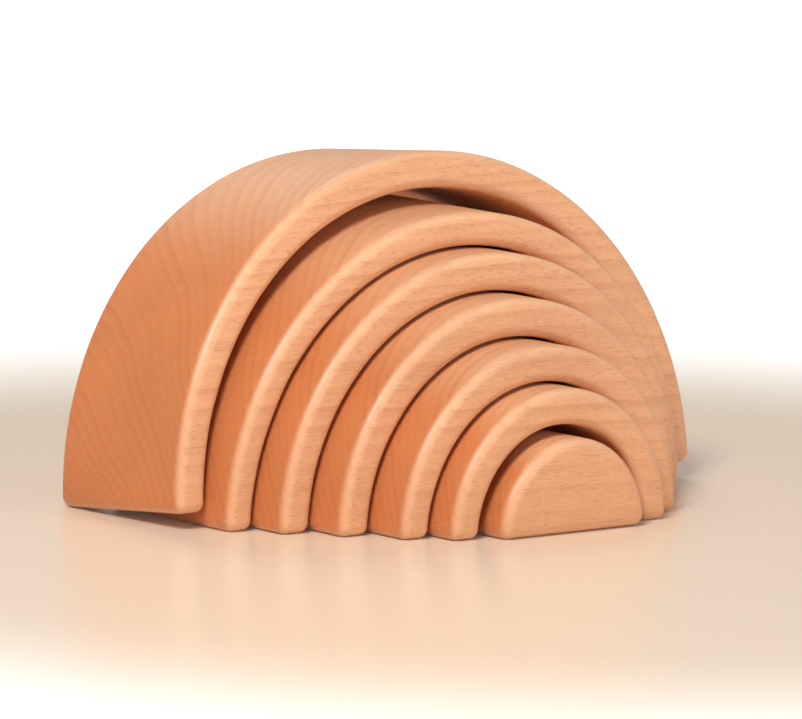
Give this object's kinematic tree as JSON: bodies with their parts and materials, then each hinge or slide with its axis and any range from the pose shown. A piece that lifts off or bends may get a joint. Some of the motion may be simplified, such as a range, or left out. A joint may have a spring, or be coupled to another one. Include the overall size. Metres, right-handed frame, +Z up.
{
  "type": "rainbow stacking toy",
  "caption": "Natural wooden rainbow stacker: nested half rings of one depth round a solid half disc, each free to slide out of the next, lift off, stack or stand alone.",
  "frame": {"origin": "centre of the half disc's underside, on the surface the toy stands on", "axes": "+X to the right across the arches' span, -Y to the front, where the half disc stands furthest out, +Z up"},
  "size_m": [0.17, 0.1076, 0.0888],
  "materials": {
    "beech": "oiled satin, fine straight grain, edges rounded over and sanded"
  },
  "bodies": {
    "half_disc": {"half_disc": "beech"},
    "inner_arch": {"inner_arch": "beech"},
    "fifth_arch": {"fifth_arch": "beech"},
    "fourth_arch": {"fourth_arch": "beech"},
    "third_arch": {"third_arch": "beech"},
    "second_arch": {"second_arch": "beech"},
    "outer_arch": {"outer_arch": "beech"}
  },
  "joints": [
    {"name": "inner_arch_slide", "type": "slide", "parent": "half_disc", "child": "inner_arch", "axis": [0, -1, 0], "range_m": [-0.0477, 0.0053]},
    {"name": "fifth_arch_slide", "type": "slide", "parent": "half_disc", "child": "fifth_arch", "axis": [0, -1, 0], "range_m": [-0.0932, 0.0128]},
    {"name": "fourth_arch_slide", "type": "slide", "parent": "half_disc", "child": "fourth_arch", "axis": [0, -1, 0], "range_m": [-0.1347, 0.0243]},
    {"name": "third_arch_slide", "type": "slide", "parent": "half_disc", "child": "third_arch", "axis": [0, -1, 0], "range_m": [-0.1773, 0.0347]},
    {"name": "second_arch_slide", "type": "slide", "parent": "half_disc", "child": "second_arch", "axis": [0, -1, 0], "range_m": [-0.2205, 0.0445]},
    {"name": "outer_arch_slide", "type": "slide", "parent": "half_disc", "child": "outer_arch", "axis": [0, -1, 0], "range_m": [-0.2662, 0.0518]}
  ]
}
